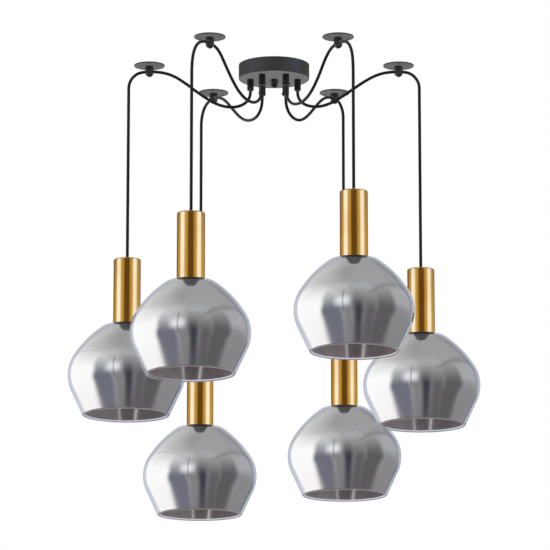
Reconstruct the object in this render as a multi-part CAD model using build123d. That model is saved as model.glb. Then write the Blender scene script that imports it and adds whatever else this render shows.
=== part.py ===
from build123d import *
import math
import os

# Cluster pendant: six glass lights on cords that leave one round ceiling box, rise to six hooks
# set round it and hang from them at six heights. Millimetres, +Z up.
# The origin is on the ceiling, at the centre of the bracket that carries the ceiling box, so
# everything hangs below z = 0. Light 1 is on +X, the others follow anticlockwise seen from above.

# ---------------------------------------------------------------- layout
light_count = 6
light_pitch = 360 / light_count
hook_ring_radius = 212.0

# ---------------------------------------------------------------- cord
cord_diameter = 5.2
cord_bore_clearance = 0.4
swing_gap = 0.3

# ---------------------------------------------------------------- ceiling box
canopy_diameter = 120.0
canopy_height = 25.0
canopy_wall = 1.2
canopy_edge_radius = 2.0
hole_clearance = 0.2

bracket_length = 104.0
bracket_width = 20.0
bracket_thickness = 2.0
bracket_corner_radius = 4.0
bracket_hole_spacing = 64.0
bracket_slot_width = 5.0
bracket_slot_length = 14.0
bracket_tab_width = 14.0
bracket_tab_reach = 28.0

thread_clearance = 0.05
stud_diameter = 8.0
stud_grip = 9.0
stud_nut_across_flats = 13.0
stud_nut_height = 5.0
dome_nut_across_flats = 13.0
dome_nut_height = 15.0
dome_nut_hexagon_height = 7.5
dome_nut_dome_diameter = 12.4
dome_nut_thread_depth = 11.0
nut_chamfer = 0.8

terminal_length = 26.0
terminal_width = 15.0
terminal_height = 12.0
terminal_poles = 3
terminal_pole_pitch = 8.0
terminal_row_spacing = 8.0
terminal_well_diameter = 4.4
terminal_well_depth = 4.0
terminal_mouth_size = 3.6
terminal_edge_radius = 1.2

# ---------------------------------------------------------------- cord glands
gland_ring_radius = 40.0
gland_diameter = 11.3
gland_length = 19.5
gland_edge_radius = 0.8
gland_thread_diameter = 9.9
gland_thread_spare = 1.0
gland_nut_across_flats = 14.0
gland_nut_height = 3.0
gland_screw_diameter = 3.0
gland_screw_head_diameter = 4.0
gland_screw_head_height = 1.3
gland_screw_lift = 4.2
screw_slot_width = 0.7
screw_slot_depth = 0.6
screw_tip_gap = 0.1
cord_tail_rise = 8.0

# ---------------------------------------------------------------- ceiling hooks
hook_plate_diameter = 52.0
hook_plate_thickness = 2.0
hook_plate_edge_radius = 0.6
hook_hole_spacing = 38.0
hook_hole_diameter = 4.5
hook_post_diameter = 14.0
hook_post_length = 14.5
hook_cord_depth = 11.5
hook_cord_clearance = 0.5
hook_screw_diameter = 5.0
hook_screw_head_diameter = 12.0
hook_screw_head_height = 4.2

# ---------------------------------------------------------------- brass tube
tube_diameter = 45.8
tube_length = 112.0
tube_wall = 1.0
tube_edge_radius = 2.0
seat_gap = 0.3

# ---------------------------------------------------------------- lamp holder
holder_flange_gap = 0.25
holder_flange_thickness = 2.5
holder_skirt_diameter = 39.8
holder_skirt_drop = 18.0
holder_body_diameter = 38.0
holder_body_height = 34.0
holder_shoulder_rise = 8.0
holder_nipple_diameter = 10.0
holder_nipple_length = 10.0
holder_grip_depth = 12.0
socket_diameter = 26.6
socket_depth = 24.0
contact_recess_diameter = 22.0
contact_recess_depth = 6.0
contact_thickness = 0.6
contact_width = 4.0
side_contact_reach = 9.6

# ---------------------------------------------------------------- shade ring
ring_thread_gap = 0.15
ring_flange_diameter = 54.0
ring_flange_thickness = 2.4
ring_sleeve_wall = 2.6
ring_sleeve_height = 8.0
ring_notch_count = 12
ring_notch_radius = 1.2

# ---------------------------------------------------------------- glass shade
shade_neck_hole_diameter = 41.0
shade_land_width = 9.5
shade_crown_radius = 20.0
shade_shoulder_radius = 175.0
shade_belly_diameter = 196.0
shade_belly_depth = 85.5
shade_belly_radius = 60.3
shade_rim_diameter = 146.0
shade_rim_depth = 152.5
shade_wall = 3.0

# ---------------------------------------------------------------- derived places
cord_radius = cord_diameter / 2
gland_mouth_depth = canopy_height + gland_length
tube_inner_radius = tube_diameter / 2 - tube_wall
holder_nipple_top = holder_body_height + holder_shoulder_rise + holder_nipple_length

# Depth of each glass neck below the ceiling, light 1 first.
neck_depths = [467.5, 555.0, 587.0, 450.5, 422.5, 384.5]

# Each cord's route from its gland to the place where it hangs plumb, in the upright plane through
# the box's axis and the hook: distance out from that axis, and depth below the ceiling.
gland_mouth = (gland_ring_radius, gland_mouth_depth)
cord_routes = [
    [
        gland_mouth, (40, 51), (42.7, 60), (49.5, 67.5), (60.5, 72), (76, 73), (94, 68), (113, 57),
        (133.5, 42.5), (155, 27.5), (176.5, 16), (198, hook_cord_depth), (226, hook_cord_depth),
        (239.3, 19.3), (247, 32.7), (247, 48),
    ],
    [
        gland_mouth, (40, 52), (42.5, 62.5), (50, 71.5), (62.5, 77.5), (79.5, 79), (98.5, 74),
        (118, 62), (137, 46.5), (156.5, 30), (176, 17.5), (197.5, hook_cord_depth),
        (223.5, hook_cord_depth), (235.8, 18.7), (243, 31), (243, 46),
    ],
    [
        gland_mouth, (40, 52.5), (42.5, 63.2), (49.5, 72.2), (61, 78), (78, 79.5), (98, 75.5),
        (119, 64.5), (139, 49), (159, 32), (178, 18.5), (199, hook_cord_depth),
        (228, hook_cord_depth), (246, 20), (256, 39), (256, 60),
    ],
    [
        gland_mouth, (40, 50.5), (42.5, 59), (49, 67), (60, 72.5), (75, 74), (92.5, 70.5),
        (111, 61), (131, 47), (152, 30.5), (172.5, 17.5), (195, hook_cord_depth),
        (226, hook_cord_depth), (239.3, 19.3), (247, 32.7), (247, 48),
    ],
    [
        gland_mouth, (40, 52), (42.5, 62), (49.5, 71.5), (61.5, 79), (78, 82), (98, 80),
        (120, 71.5), (141, 56), (161, 37.5), (178, 20.5), (196.5, hook_cord_depth),
        (229, hook_cord_depth), (250.5, 19.5), (264, 37.5), (269, 62), (269, 86),
    ],
    [
        gland_mouth, (40, 52.5), (42.5, 63), (49.5, 73), (61, 81), (77, 85.5), (97, 85.5),
        (118, 78.5), (137.5, 64.5), (155, 46.5), (172, 26), (194, hook_cord_depth),
        (227, hook_cord_depth), (242, 16.5), (252.5, 28), (258, 44), (259.5, 64), (259.5, 83),
    ],
]


# ---------------------------------------------------------------- helpers
def light_angle(light):
    """Angle of a light's upright plane round the box, with light 1 on +X."""
    return (light - 1) * light_pitch


def round_the_box(piece, radius):
    """One copy of a piece per light, turned outwards, at a radius from the box's axis."""
    copies = []
    for light in range(1, light_count + 1):
        turn = light_angle(light)
        out = Vector(radius, 0, 0).rotate(Axis.Z, turn)
        copies.append(piece.moved(Location((out.X, out.Y, 0), (0, 0, turn))))
    return copies


def group(solids):
    """Like pieces that share one node, each still a solid of its own."""
    return Compound(children=solids)


def hexagon_nut(across_flats, height, bore_radius):
    """Plain nut that hangs from z = 0, with both faces chamfered at the corners."""
    corner_radius = across_flats / math.sqrt(3)
    blank = extrude(RegularPolygon(across_flats / 2, 6, major_radius=False), -height)
    turned = Pos(0, 0, -height / 2) * Cylinder(corner_radius, height)
    blank = blank & chamfer(turned.edges().filter_by(GeomType.CIRCLE), nut_chamfer)
    return blank - Pos(0, 0, -height / 2) * Cylinder(bore_radius, height)


def revolved(profile):
    """Solid of revolution about Z from a closed outline drawn in the XZ plane."""
    return revolve(Plane.XZ * make_face(profile), Axis.Z)


def from_top(radius, height, top):
    """Upright cylinder that hangs from a given height."""
    return Pos(0, 0, top - height / 2) * Cylinder(radius, height)


# ---------------------------------------------------------------- ceiling box
def canopy_shell():
    """Pressed steel cup, open to the ceiling, with holes for the stud and the glands."""
    outside = from_top(canopy_diameter / 2, canopy_height, 0)
    outside = fillet(outside.edges().sort_by(Axis.Z)[0], canopy_edge_radius)
    inside = from_top(canopy_diameter / 2 - canopy_wall, canopy_height - canopy_wall, 0)
    inside = fillet(inside.edges().sort_by(Axis.Z)[0], max(canopy_edge_radius - canopy_wall, 0.1))
    gland_hole = from_top(gland_thread_diameter / 2 + hole_clearance, 2 * canopy_height, 0)
    stud_hole = from_top(stud_diameter / 2 + hole_clearance, 2 * canopy_height, 0)
    return outside - inside - stud_hole - round_the_box(gland_hole, gland_ring_radius)


def ceiling_bracket():
    """Flat strap that is screwed to the ceiling, tapped for the stud, with a terminal tab."""
    strap = RectangleRounded(bracket_length, bracket_width, bracket_corner_radius)
    tab = Pos(0, -bracket_tab_reach / 2) * Rectangle(bracket_tab_width, bracket_tab_reach)
    slot = SlotOverall(bracket_slot_length, bracket_slot_width)
    outline = strap + tab
    outline -= Pos(bracket_hole_spacing / 2, 0) * slot
    outline -= Pos(-bracket_hole_spacing / 2, 0) * slot
    outline -= Circle(stud_diameter / 2 + thread_clearance)
    return extrude(outline, -bracket_thickness)


def canopy_stud():
    """Threaded rod from the bracket down through the box into the dome nut."""
    return from_top(stud_diameter / 2, canopy_height + stud_grip, 0)


def stud_nut():
    """Lock nut that fixes the stud under the bracket."""
    nut = hexagon_nut(stud_nut_across_flats, stud_nut_height, stud_diameter / 2 + thread_clearance)
    return Pos(0, 0, -bracket_thickness) * nut


def dome_nut():
    """Cap nut under the box that draws it up to the ceiling."""
    dome_radius = dome_nut_dome_diameter / 2
    hexagon = hexagon_nut(dome_nut_across_flats, dome_nut_hexagon_height, stud_diameter / 2)
    dome_centre = dome_nut_height - dome_radius
    neck = from_top(dome_radius, dome_centre - nut_chamfer, -nut_chamfer)
    nut = hexagon + neck + Pos(0, 0, -dome_centre) * Sphere(dome_radius)
    nut -= from_top(stud_diameter / 2 + thread_clearance, dome_nut_thread_depth, 0)
    return Pos(0, 0, -canopy_height) * nut


def terminal_block():
    """Moulded connector block screwed under the bracket's tab, with a screw well per clamp."""
    block = Pos(0, 0, -terminal_height / 2) * Box(terminal_length, terminal_width, terminal_height)
    block = fillet(block.edges().filter_by(Axis.Z), terminal_edge_radius)
    well = from_top(terminal_well_diameter / 2, terminal_well_depth, terminal_well_depth)
    mouth = Box(terminal_mouth_size, terminal_width / 2, terminal_mouth_size)
    for pole in range(terminal_poles):
        along = (pole - (terminal_poles - 1) / 2) * terminal_pole_pitch
        for side in (-1, 1):
            across = side * terminal_row_spacing / 2
            block -= Pos(along, across, -terminal_height) * well
            block -= Pos(along, side * terminal_width / 2, -terminal_height / 2) * mouth
    centre = -(bracket_tab_reach - terminal_width / 2)
    return Pos(0, centre, -bracket_thickness) * block


# ---------------------------------------------------------------- cord glands
def cord_gland():
    """Plastic cord grip under the box, with a thread up through it and a side screw."""
    body = from_top(gland_diameter / 2, gland_length, -canopy_height)
    body = fillet(body.edges().sort_by(Axis.Z)[0], gland_edge_radius)
    thread_length = canopy_wall + gland_nut_height + gland_thread_spare
    body += from_top(gland_thread_diameter / 2, thread_length, thread_length - canopy_height)
    bore = from_top(cord_radius + cord_bore_clearance, 2 * gland_mouth_depth, 0)
    screw_hole = Cylinder(gland_screw_diameter / 2 + thread_clearance, gland_diameter / 2,
                          align=(Align.CENTER, Align.CENTER, Align.MIN))
    screw_height = gland_screw_lift - gland_mouth_depth
    return body - bore - Pos(0, 0, screw_height) * Rot(-90, 0, 0) * screw_hole


def gland_nut():
    """Thin nut that holds a gland from inside the box."""
    nut = hexagon_nut(gland_nut_across_flats, gland_nut_height,
                      gland_thread_diameter / 2 + thread_clearance)
    return Pos(0, 0, canopy_wall + gland_nut_height - canopy_height) * nut


def gland_screw():
    """Slotted side screw of a gland, which stops the cord from slipping."""
    tip = cord_radius + screw_tip_gap
    base = Align.CENTER, Align.CENTER, Align.MIN
    shank = Pos(0, 0, tip) * Cylinder(gland_screw_diameter / 2, gland_diameter / 2 - tip, align=base)
    head = Pos(0, 0, gland_diameter / 2) * Cylinder(
        gland_screw_head_diameter / 2, gland_screw_head_height, align=base)
    slot = Pos(0, 0, gland_diameter / 2 + gland_screw_head_height) * Box(
        2 * gland_screw_head_diameter, screw_slot_width, 2 * screw_slot_depth)
    screw_height = gland_screw_lift - gland_mouth_depth
    return Pos(0, 0, screw_height) * Rot(-90, 0, 0) * (shank + head - slot)


def cord_tail():
    """The end of a cord inside its gland and the box."""
    top = cord_tail_rise + canopy_wall - canopy_height
    return from_top(cord_radius, top + gland_mouth_depth, top)


# ---------------------------------------------------------------- ceiling hooks
def hook_plate():
    """Round plate for two ceiling screws, with a post that is bored across for the cord."""
    plate = from_top(hook_plate_diameter / 2, hook_plate_thickness, 0)
    plate = fillet(plate.edges().sort_by(Axis.Z)[0], hook_plate_edge_radius)
    hook = plate + from_top(hook_post_diameter / 2, hook_post_length, -hook_plate_thickness)
    for side in (-1, 1):
        hole = from_top(hook_hole_diameter / 2, 2 * hook_plate_thickness, hook_plate_thickness / 2)
        hook -= Pos(0, side * hook_hole_spacing / 2, 0) * hole
    cross_bore = Cylinder(cord_radius + hook_cord_clearance, 2 * hook_post_diameter)
    hook -= Pos(0, 0, -hook_cord_depth) * Rot(0, 90, 0) * cross_bore
    screw_bore = from_top(hook_screw_diameter / 2 + thread_clearance, hook_post_length,
                          -hook_cord_depth)
    return hook - screw_bore


def hook_screw():
    """Domed thumb screw under a hook's post, which clamps the cord in the cross bore."""
    tip = -hook_cord_depth - cord_radius - screw_tip_gap
    post_end = -hook_plate_thickness - hook_post_length
    head_radius = hook_screw_head_diameter / 2
    dome_radius = (head_radius ** 2 + hook_screw_head_height ** 2) / (2 * hook_screw_head_height)
    ball = Pos(0, 0, post_end - hook_screw_head_height + dome_radius) * Sphere(dome_radius)
    head = ball & from_top(head_radius, hook_screw_head_height, post_end)
    return head + from_top(hook_screw_diameter / 2, tip - post_end, tip)


# ---------------------------------------------------------------- cords
def swag_radii(route):
    """Bend radius at each corner of a route: as large as its two runs allow."""
    radii = []
    for before, corner, after in zip(route, route[1:], route[2:]):
        arriving = Vector(*corner) - Vector(*before)
        leaving = Vector(*after) - Vector(*corner)
        half_turn = math.radians(arriving.get_angle(leaving)) / 2
        radii.append(0.45 * min(arriving.length, leaving.length) / math.tan(half_turn))
    return radii


def cord_swag(light):
    """The fixed stretch of a cord, from its gland up through its hook and over."""
    route = cord_routes[light - 1]
    radii = swag_radii(route)
    points = [Vector(out, 0, -depth) for out, depth in route]
    path = FilletPolyline(*points, radius=radii)
    section = Plane(origin=points[0], z_dir=(0, 0, -1)) * Circle(cord_radius)
    tube = sweep(section, path=path)
    share = tube.volume / (math.pi * cord_radius ** 2 * path.length)
    print(f"cord {light}: swag {path.length:.0f} mm, hangs {hanging_length(light):.0f} mm more,"
          f" radii {min(radii):.1f} to {max(radii):.0f} mm, volume over section x length {share:.4f}")
    return Rot(0, 0, light_angle(light)) * tube


def swing_depth(light):
    """Depth of the point that a pendant swings about, just under the end of its swag."""
    return cord_routes[light - 1][-1][1] + swing_gap + cord_radius


def hanging_length(light):
    """Cord between a swag's end and the top of its brass tube."""
    tube_top = neck_depths[light - 1] - seat_gap - tube_length
    return tube_top - cord_routes[light - 1][-1][1]


def cord_drop(light):
    """The plumb stretch of a cord, with a round top, down into the lamp holder's grip."""
    depth = swing_depth(light)
    foot = neck_depths[light - 1] - (holder_nipple_top - holder_grip_depth)
    straight = from_top(cord_radius, foot - depth, -depth)
    return straight + Pos(0, 0, -depth) * Sphere(cord_radius)


# ---------------------------------------------------------------- pendant, z = 0 at the glass neck
def brass_tube():
    """Deep drawn cover that stands on the glass and hides the lamp holder."""
    outside = from_top(tube_diameter / 2, tube_length, seat_gap + tube_length)
    outside = fillet(outside.edges().sort_by(Axis.Z)[-1], tube_edge_radius)
    inside = from_top(tube_inner_radius, tube_length - tube_wall, seat_gap + tube_length - tube_wall)
    inside = fillet(inside.edges().sort_by(Axis.Z)[-1], max(tube_edge_radius - tube_wall, 0.1))
    cord_hole = from_top(cord_radius + cord_bore_clearance, 3 * tube_wall,
                         seat_gap + tube_length + tube_wall)
    return outside - inside - cord_hole


def lamp_holder():
    """Screw-base holder: threaded skirt through the glass, flange on it, body and cord grip."""
    flange_radius = tube_inner_radius - holder_flange_gap
    flange_low = seat_gap
    flange_top = flange_low + holder_flange_thickness
    body_radius = holder_body_diameter / 2
    nipple_radius = holder_nipple_diameter / 2
    shoulder_top = holder_body_height + holder_shoulder_rise
    shoulder_middle = (
        nipple_radius + (body_radius - nipple_radius) * math.sin(math.radians(45)),
        holder_body_height + holder_shoulder_rise * math.cos(math.radians(45)),
    )
    skirt_radius = holder_skirt_diameter / 2
    outline = Polyline(
        (nipple_radius, shoulder_top), (nipple_radius, holder_nipple_top), (0, holder_nipple_top),
        (0, -holder_skirt_drop), (skirt_radius, -holder_skirt_drop), (skirt_radius, flange_low),
        (flange_radius, flange_low), (flange_radius, flange_top), (body_radius, flange_top),
        (body_radius, holder_body_height),
    )
    shoulder = ThreePointArc((body_radius, holder_body_height), shoulder_middle,
                             (nipple_radius, shoulder_top))
    holder = revolved(outline + shoulder)
    socket_top = socket_depth - holder_skirt_drop
    holder -= from_top(socket_diameter / 2, 2 * socket_depth, socket_top)
    holder -= from_top(contact_recess_diameter / 2, 2 * contact_recess_depth,
                       socket_top + contact_recess_depth)
    grip_bore = from_top(cord_radius + cord_bore_clearance, holder_grip_depth, holder_nipple_top)
    return holder - grip_bore


def holder_contacts():
    """Two brass tongues in the recess above the socket: one central, one at its side."""
    roof = socket_depth - holder_skirt_drop + contact_recess_depth
    root = -contact_recess_diameter / 2 + 2 * contact_thickness
    centre_tongue = Polyline(
        (root, roof), (root, roof - contact_thickness), (root / 2, roof - contact_thickness),
        (contact_width / 2, roof - contact_recess_depth / 2),
        (contact_width / 2, roof - contact_recess_depth / 2 + contact_thickness),
        (root / 2, roof), (root, roof),
    )
    centre = extrude(Plane.XZ * make_face(centre_tongue), contact_width / 2, both=True)
    side = Pos(side_contact_reach, 0, roof - contact_recess_depth / 2) * Box(
        contact_thickness, contact_width, contact_recess_depth)
    return group([centre.solid(), side.solid()])


def shade_arcs():
    """Centres of the crown, shoulder and belly arcs, as (radius, depth).

    The crown arc leaves the flat land round the neck hole, and the three arcs run into each
    other without a corner, so two neighbours' centres lie on one line with the place they meet.
    """
    belly = Vector(shade_belly_diameter / 2 - shade_belly_radius, shade_belly_depth)
    crown = Vector(shade_neck_hole_diameter / 2 + shade_land_width, shade_crown_radius)
    between = crown - belly
    to_belly = shade_shoulder_radius - shade_belly_radius
    to_crown = shade_shoulder_radius - shade_crown_radius
    along = (to_belly ** 2 - to_crown ** 2 + between.length ** 2) / (2 * between.length)
    aside = math.sqrt(to_belly ** 2 - along ** 2)
    direction = between.normalized()
    shoulder = belly + direction * along + Vector(direction.Y, -direction.X) * aside
    return crown, shoulder, belly


def shade_skin(inset):
    """One face of the glass, from the neck hole to the rim, moved in by a thickness.

    Returns the skin's edges and its two ends. Depths run downwards here, as negative heights.
    """
    crown, shoulder, belly = shade_arcs()
    crown_radius = shade_crown_radius - inset
    shoulder_radius = shade_shoulder_radius - inset
    belly_radius = shade_belly_radius - inset
    crown_end = crown + (crown - shoulder).normalized() * crown_radius
    shoulder_end = belly + (belly - shoulder).normalized() * belly_radius

    rim = Vector(shade_rim_diameter / 2, shade_rim_depth)
    to_rim = rim - belly
    swing = math.acos(shade_belly_radius / to_rim.length)
    normal_angle = math.atan2(to_rim.Y, to_rim.X) - swing
    normal = Vector(math.cos(normal_angle), math.sin(normal_angle))
    leave = belly + normal * belly_radius
    rim = rim - normal * inset

    land_edge = Vector(crown.X, inset)
    neck = Vector(shade_neck_hole_diameter / 2, inset)

    def upright(point):
        return point.X, -point.Y

    def on_arc(centre, radius, first, last):
        middle = ((first - centre) + (last - centre)).normalized() * radius
        return ThreePointArc(upright(first), upright(centre + middle), upright(last))

    skin = Line(upright(neck), upright(land_edge))
    skin += on_arc(crown, crown_radius, land_edge, crown_end)
    skin += on_arc(shoulder, shoulder_radius, crown_end, shoulder_end)
    skin += on_arc(belly, belly_radius, shoulder_end, leave)
    skin += Line(upright(leave), upright(rim))
    return skin, neck, rim, normal


def glass_shade():
    """Blown glass bowl, open below, with a flat land round its neck hole and a rounded lip."""
    outer, outer_neck, outer_rim, normal = shade_skin(0)
    inner, inner_neck, inner_rim, _ = shade_skin(shade_wall)
    down = Vector(-normal.Y, normal.X)
    tip = (outer_rim + inner_rim) * 0.5 + down * (shade_wall / 2)
    lip = ThreePointArc((outer_rim.X, -outer_rim.Y), (tip.X, -tip.Y), (inner_rim.X, -inner_rim.Y))
    neck = Line((outer_neck.X, -outer_neck.Y), (inner_neck.X, -inner_neck.Y))
    return revolved(outer + lip + inner + neck)


def shade_ring():
    """Notched plastic ring on the holder's skirt, which clamps the glass's land from inside."""
    flange_radius = ring_flange_diameter / 2
    top = -shade_wall - seat_gap
    thread_radius = holder_skirt_diameter / 2 + ring_thread_gap
    sleeve_radius = thread_radius + ring_sleeve_wall
    ring = from_top(flange_radius, ring_flange_thickness, top)
    ring += from_top(sleeve_radius, ring_sleeve_height, top)
    ring -= from_top(thread_radius, 2 * ring_sleeve_height, top + ring_sleeve_height / 2)
    notch = from_top(ring_notch_radius, ring_sleeve_height, top - ring_flange_thickness)
    for place in PolarLocations(sleeve_radius + ring_notch_radius / 2, ring_notch_count):
        ring -= place * notch
    return ring


# ---------------------------------------------------------------- assembly
def ceiling_nodes():
    """Every piece that stays still: the box, the glands, the hooks and the swags."""
    nodes = {
        "canopy_shell": canopy_shell(),
        "ceiling_bracket": ceiling_bracket(),
        "canopy_stud": canopy_stud(),
        "stud_nut": stud_nut(),
        "dome_nut": dome_nut(),
        "terminal_block": terminal_block(),
        "cord_glands": group(round_the_box(cord_gland().solid(), gland_ring_radius)),
        "gland_nuts": group(round_the_box(gland_nut().solid(), gland_ring_radius)),
        "gland_screws": group(round_the_box(gland_screw().solid(), gland_ring_radius)),
        "cord_tails": group(round_the_box(cord_tail().solid(), gland_ring_radius)),
        "hook_screws": group(round_the_box(hook_screw().solid(), hook_ring_radius)),
    }
    for light, plate in enumerate(round_the_box(hook_plate(), hook_ring_radius), start=1):
        nodes[f"hook_plate_{light}"] = plate
        nodes[f"cord_{light}_swag"] = cord_swag(light)
    return nodes


def pendant_nodes():
    """The six hanging lights, which are alike but for their places and cord lengths."""
    pieces = {
        "brass_tube": brass_tube(),
        "lamp_holder": lamp_holder(),
        "holder_contacts": holder_contacts(),
        "shade_ring": shade_ring(),
        "glass_shade": glass_shade(),
    }
    nodes = {}
    for light in range(1, light_count + 1):
        reach = cord_routes[light - 1][-1][0]
        out = Vector(reach, 0, 0).rotate(Axis.Z, light_angle(light))
        turn = (0, 0, light_angle(light))
        nodes[f"cord_{light}_drop"] = cord_drop(light).moved(Location((out.X, out.Y, 0), turn))
        place = Location((out.X, out.Y, -neck_depths[light - 1]), turn)
        for name, piece in pieces.items():
            nodes[f"{name}_{light}"] = piece.moved(place)
    return nodes


os.makedirs("parts", exist_ok=True)
for node, shape in (ceiling_nodes() | pendant_nodes()).items():
    export_step(shape, f"parts/{node}.step")
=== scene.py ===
"""Cluster pendant: six mirrored glass lights that hang on black cords from one round ceiling box.

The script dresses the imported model: it turns the glass shades, their mirror films, the brass
covers and the sleeves inside them as on a lathe, lays the cords along their real routes, gives
every piece its finish, and sets up a plain studio. Lengths are metres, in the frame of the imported
model: the origin is on the ceiling at the middle of the box, and light 1 is on +X, with the
others anticlockwise seen from above.
"""
from __future__ import annotations

import logging
import math
from dataclasses import dataclass
from enum import Enum
from functools import cached_property
from typing import ClassVar

import bmesh
import bpy
from mathutils import Matrix, Vector

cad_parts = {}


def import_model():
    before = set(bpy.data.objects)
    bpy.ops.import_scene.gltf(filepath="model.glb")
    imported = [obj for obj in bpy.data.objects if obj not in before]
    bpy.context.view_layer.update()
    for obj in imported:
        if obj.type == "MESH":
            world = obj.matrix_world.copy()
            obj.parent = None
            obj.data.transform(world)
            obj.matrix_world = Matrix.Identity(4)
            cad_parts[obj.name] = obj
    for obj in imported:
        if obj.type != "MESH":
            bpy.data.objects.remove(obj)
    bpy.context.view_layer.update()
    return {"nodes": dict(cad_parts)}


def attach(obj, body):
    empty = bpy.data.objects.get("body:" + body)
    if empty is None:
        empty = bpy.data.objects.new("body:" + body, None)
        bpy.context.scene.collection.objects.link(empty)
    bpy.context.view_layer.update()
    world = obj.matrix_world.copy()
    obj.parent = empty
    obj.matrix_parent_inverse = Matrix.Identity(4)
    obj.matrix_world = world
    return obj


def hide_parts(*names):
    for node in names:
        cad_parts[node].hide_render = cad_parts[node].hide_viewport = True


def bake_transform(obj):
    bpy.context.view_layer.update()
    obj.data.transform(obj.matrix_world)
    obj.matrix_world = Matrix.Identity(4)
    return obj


LOG = logging.getLogger("cluster_pendant")
MM = 0.001
FULL_TURN = 2 * math.pi
WELD_DISTANCE = 0.002 * MM

Triple = tuple[float, float, float]
Colour = Triple
Outline = list[tuple[float, float]]
Piece = bpy.types.Object
Socket = bpy.types.NodeSocket


# ---------------- modelling helpers
def arc_points(centre: tuple[float, float], radius: float, start: float, end: float,
               steps: int) -> Outline:
    """Points along an arc in the plane of a lathe profile.

    Args:
        centre: Centre of the arc, as distance from the axis and height.
        radius: Radius of the arc.
        start: Angle of the first point in degrees, from the outward direction towards up.
        end: Angle of the last point in degrees.
        steps: Number of equal steps from the first point to the last.

    Returns:
        The points, as distance from the axis and height.
    """
    points = []
    for step in range(steps + 1):
        angle = math.radians(start + (end - start) * step / steps)
        points.append((centre[0] + radius * math.cos(angle), centre[1] + radius * math.sin(angle)))
    return points


def turned(name: str, profile: Outline, steps: int, smooth_angle: float = 30.0) -> Piece:
    """A closed solid of revolution: a profile, extruded point by point and spun about Z.

    Args:
        name: Name of the new object.
        profile: Closed outline as distance from the axis and height, without its start again.
        steps: Number of facets round the axis.
        smooth_angle: Edges sharper than this many degrees stay crisp.

    Returns:
        The new object, at the origin.
    """
    bpy.ops.object.select_all(action="DESELECT")
    bpy.ops.mesh.primitive_plane_add(size=MM)
    piece = bpy.context.object
    piece.name = name
    bpy.ops.object.mode_set(mode="EDIT")
    bpy.ops.mesh.select_all(action="SELECT")
    bpy.ops.mesh.merge(type="CENTER")
    here = Vector((profile[0][0], 0, profile[0][1]))
    bpy.ops.transform.translate(value=here)
    for out, height in profile[1:] + profile[:1]:
        there = Vector((out, 0, height))
        bpy.ops.mesh.extrude_vertices_move(TRANSFORM_OT_translate={"value": there - here})
        here = there
    bpy.ops.mesh.select_all(action="SELECT")
    bpy.ops.mesh.spin(steps=steps, angle=FULL_TURN, center=(0, 0, 0), axis=(0, 0, 1))
    bpy.ops.mesh.select_all(action="SELECT")
    bpy.ops.mesh.remove_doubles(threshold=WELD_DISTANCE)
    bpy.ops.mesh.dissolve_degenerate(threshold=WELD_DISTANCE)
    bpy.ops.mesh.normals_make_consistent(inside=False)
    bpy.ops.object.mode_set(mode="OBJECT")
    bpy.ops.object.shade_smooth_by_angle(angle=math.radians(smooth_angle))
    return piece


def placed_copy(piece: Piece, name: str, place: Vector) -> Piece:
    """A copy of a piece with a mesh of its own, moved by its mesh and not by its object.

    Args:
        piece: The piece to copy.
        name: Name of the copy.
        place: Where the pattern's origin goes.

    Returns:
        The copy, whose object sits at the origin.
    """
    copy = piece.copy()
    copy.data = piece.data.copy()
    copy.name = name
    copy.data.name = name
    bpy.context.scene.collection.objects.link(copy)
    copy.data.transform(Matrix.Translation(place))
    return copy


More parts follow.
